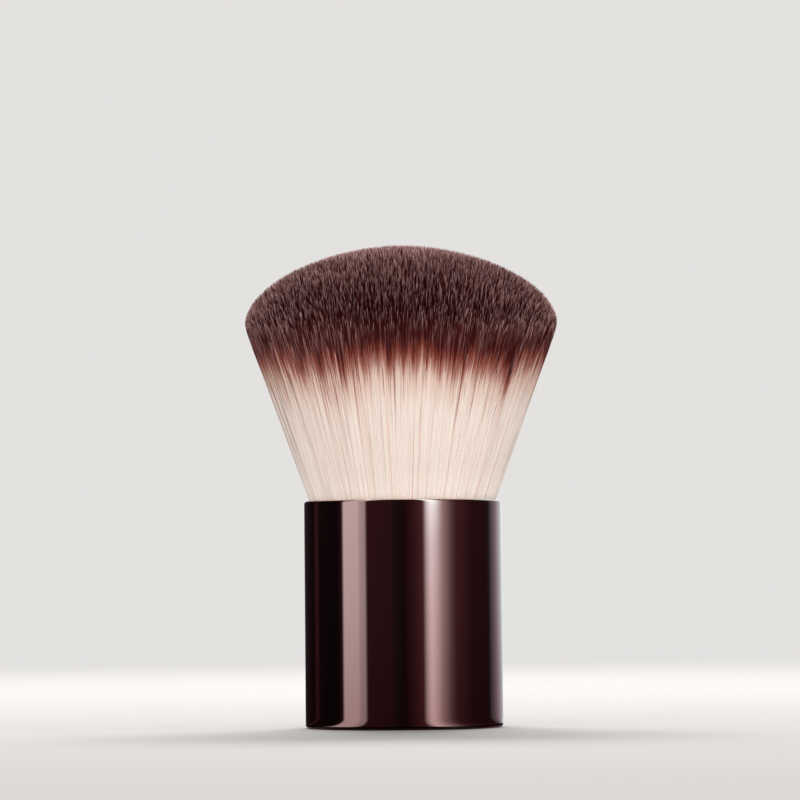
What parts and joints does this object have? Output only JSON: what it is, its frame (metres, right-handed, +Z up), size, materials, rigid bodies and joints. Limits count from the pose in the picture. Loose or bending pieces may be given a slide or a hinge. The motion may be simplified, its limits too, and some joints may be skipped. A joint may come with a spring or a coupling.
{
  "type": "finishing powder brush",
  "caption": "Short round finishing brush: a glossy metal handle packed with fine bristles that splay out to a wide, shallow dome, for buffing powder.",
  "frame": {"origin": "middle of the handle's flat base, on the surface that the brush stands on", "axes": "+Z up along the handle's axis to the bristles; the brush is round, so +X and +Y are any two directions across it"},
  "size_m": [0.0508, 0.0508, 0.0783],
  "materials": {
    "lacquered_metal": "gloss",
    "turned_steel": "satin",
    "moulded_abs": "matte",
    "drawn_aluminium": "satin",
    "set_epoxy": "gloss",
    "waxed_thread": "matte",
    "bristle": "satin"
  },
  "bodies": {
    "root": {"handle_shell": "lacquered_metal", "base_weight": "turned_steel", "core_insert": "moulded_abs", "ferrule_cup": "drawn_aluminium", "epoxy_plug": "set_epoxy", "knot_tie": "waxed_thread", "bristles": "bristle"}
  },
  "joints": []
}
